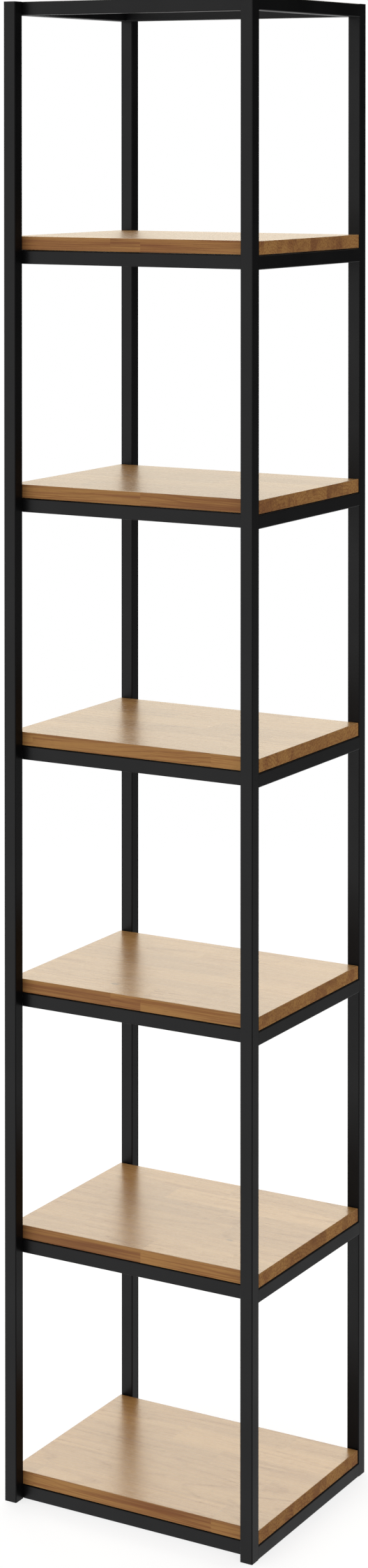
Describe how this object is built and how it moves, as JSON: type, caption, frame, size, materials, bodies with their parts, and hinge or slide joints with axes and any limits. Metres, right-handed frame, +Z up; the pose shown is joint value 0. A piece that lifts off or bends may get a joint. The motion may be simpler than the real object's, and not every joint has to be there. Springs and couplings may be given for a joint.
{
  "type": "bookcase with lift-off shelves",
  "caption": "Tall narrow open bookcase: a slim black square-tube frame with solid wood shelf boards that lie on welded rail rings and lift off.",
  "frame": {"origin": "on the floor, under the middle of the frame", "axes": "+X to the right along the front, +Y from the front to the back, +Z up"},
  "size_m": [0.42, 0.356, 2.228],
  "materials": {
    "frame_steel": "matte black powder coat",
    "oak": "satin clear lacquer",
    "black_plastic": "moulded, matte"
  },
  "bodies": {
    "frame": {"upright_front_left": "frame_steel", "upright_front_right": "frame_steel", "upright_back_left": "frame_steel", "upright_back_right": "frame_steel", "front_rail_1": "frame_steel", "front_rail_2": "frame_steel", "front_rail_3": "frame_steel", "front_rail_4": "frame_steel", "front_rail_5": "frame_steel", "front_rail_6": "frame_steel", "front_rail_7": "frame_steel", "back_rail_1": "frame_steel", "back_rail_2": "frame_steel", "back_rail_3": "frame_steel", "back_rail_4": "frame_steel", "back_rail_5": "frame_steel", "back_rail_6": "frame_steel", "back_rail_7": "frame_steel", "left_rail_1": "frame_steel", "left_rail_2": "frame_steel", "left_rail_3": "frame_steel", "left_rail_4": "frame_steel", "left_rail_5": "frame_steel", "left_rail_6": "frame_steel", "left_rail_7": "frame_steel", "right_rail_1": "frame_steel", "right_rail_2": "frame_steel", "right_rail_3": "frame_steel", "right_rail_4": "frame_steel", "right_rail_5": "frame_steel", "right_rail_6": "frame_steel", "right_rail_7": "frame_steel", "shelf_pins_1": "black_plastic", "shelf_pins_2": "black_plastic", "shelf_pins_3": "black_plastic", "shelf_pins_4": "black_plastic", "shelf_pins_5": "black_plastic", "shelf_pins_6": "black_plastic", "top_caps": "frame_steel", "foot_plugs": "black_plastic"},
    "board_1": {"shelf_1": "oak"},
    "board_2": {"shelf_2": "oak"},
    "board_3": {"shelf_3": "oak"},
    "board_4": {"shelf_4": "oak"},
    "board_5": {"shelf_5": "oak"},
    "board_6": {"shelf_6": "oak"}
  },
  "joints": [
    {"name": "board_1_lift", "type": "slide", "parent": "frame", "child": "board_1", "axis": [0, 0, 1], "range_m": [0, 0.32]},
    {"name": "board_2_lift", "type": "slide", "parent": "frame", "child": "board_2", "axis": [0, 0, 1], "range_m": [0, 0.32]},
    {"name": "board_3_lift", "type": "slide", "parent": "frame", "child": "board_3", "axis": [0, 0, 1], "range_m": [0, 0.32]},
    {"name": "board_4_lift", "type": "slide", "parent": "frame", "child": "board_4", "axis": [0, 0, 1], "range_m": [0, 0.32]},
    {"name": "board_5_lift", "type": "slide", "parent": "frame", "child": "board_5", "axis": [0, 0, 1], "range_m": [0, 0.32]},
    {"name": "board_6_lift", "type": "slide", "parent": "frame", "child": "board_6", "axis": [0, 0, 1], "range_m": [0, 0.32]}
  ]
}
